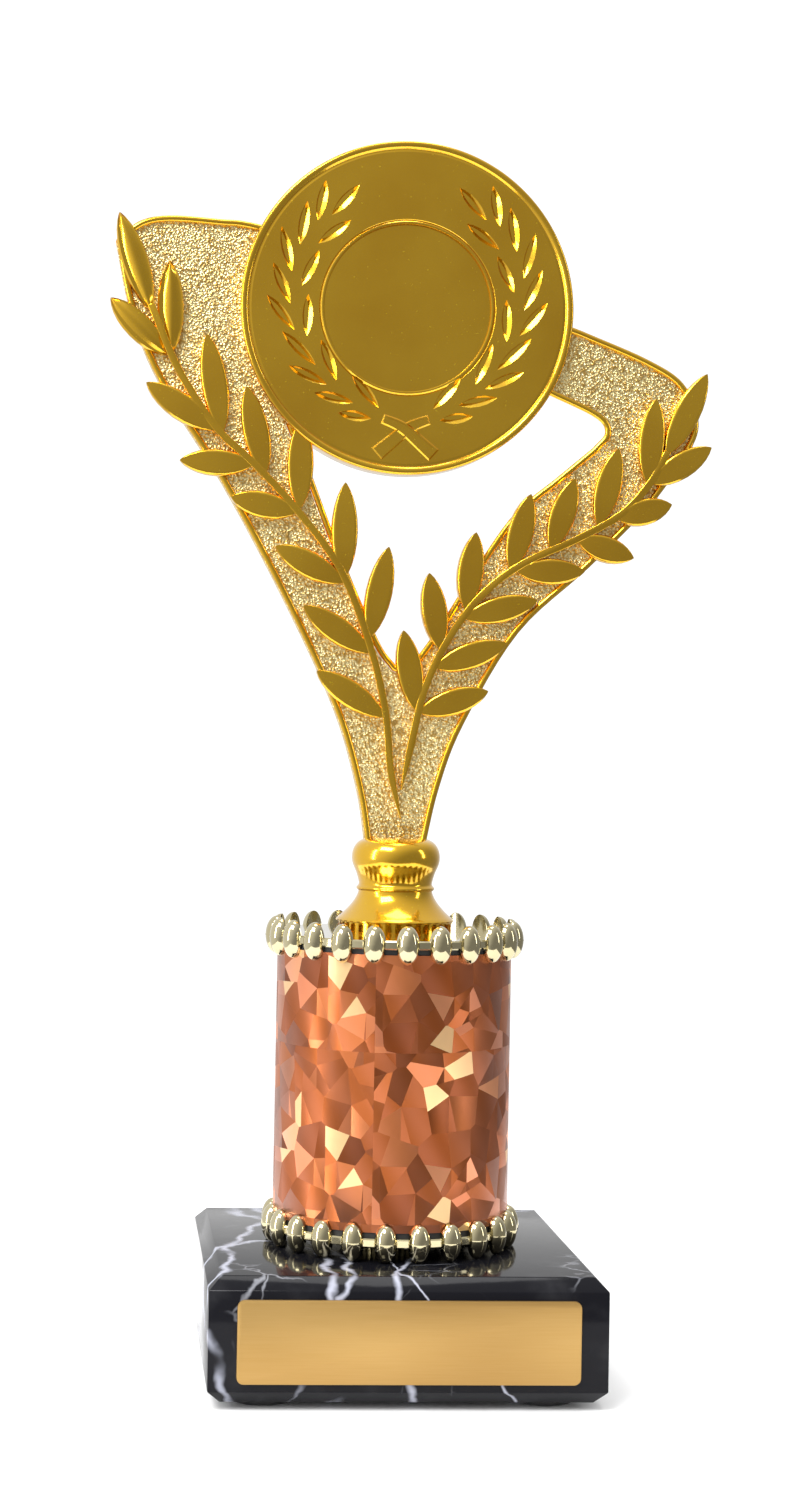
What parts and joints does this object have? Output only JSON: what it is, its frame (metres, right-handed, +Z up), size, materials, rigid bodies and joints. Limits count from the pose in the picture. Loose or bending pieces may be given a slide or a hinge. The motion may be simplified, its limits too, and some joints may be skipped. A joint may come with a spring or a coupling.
{
  "type": "column trophy",
  "caption": "Column trophy: marble base, foil covered column between two bead rings, flared riser and a winged laurel figure with a medal disc for a round centre.",
  "frame": {"origin": "middle of the underside, on the surface that the feet stand on", "axes": "+Z up along the rod, -Y the front with the name plate, +X to the right seen from the front"},
  "size_m": [0.0907, 0.0567, 0.1828],
  "materials": {
    "marble": "polished black marble with white veins",
    "satin_gold_plate": "satin gold anodised, blank",
    "adhesive": "double sided tape",
    "rubber_feet": "matte",
    "zinc_steel": "bright zinc plated",
    "brass_insert": "turned",
    "champagne_plating": "pale gold vacuum plated plastic, mirror bright",
    "gold_plating": "bright gold plated plastic",
    "stippled_gold": "gold plated plastic, stippled field and bright rim",
    "black_tube": "matte black",
    "hologram_foil": "copper holographic film, cracked ice pattern"
  },
  "bodies": {
    "root": {"marble_base": "marble", "name_plate": "satin_gold_plate", "plate_adhesive": "adhesive", "foot_front_left": "rubber_feet", "foot_front_right": "rubber_feet", "foot_back_left": "rubber_feet", "foot_back_right": "rubber_feet", "base_nut": "zinc_steel", "lock_washer": "zinc_steel", "base_washer": "zinc_steel", "threaded_rod": "zinc_steel", "lower_bead_ring": "champagne_plating", "column_tube": "black_tube", "foil_wrap": "hologram_foil", "upper_bead_ring": "champagne_plating", "riser": "gold_plating", "figure": "stippled_gold", "figure_insert": "brass_insert", "left_laurel": "gold_plating", "right_laurel": "gold_plating", "medal_disc": "gold_plating"}
  },
  "joints": []
}
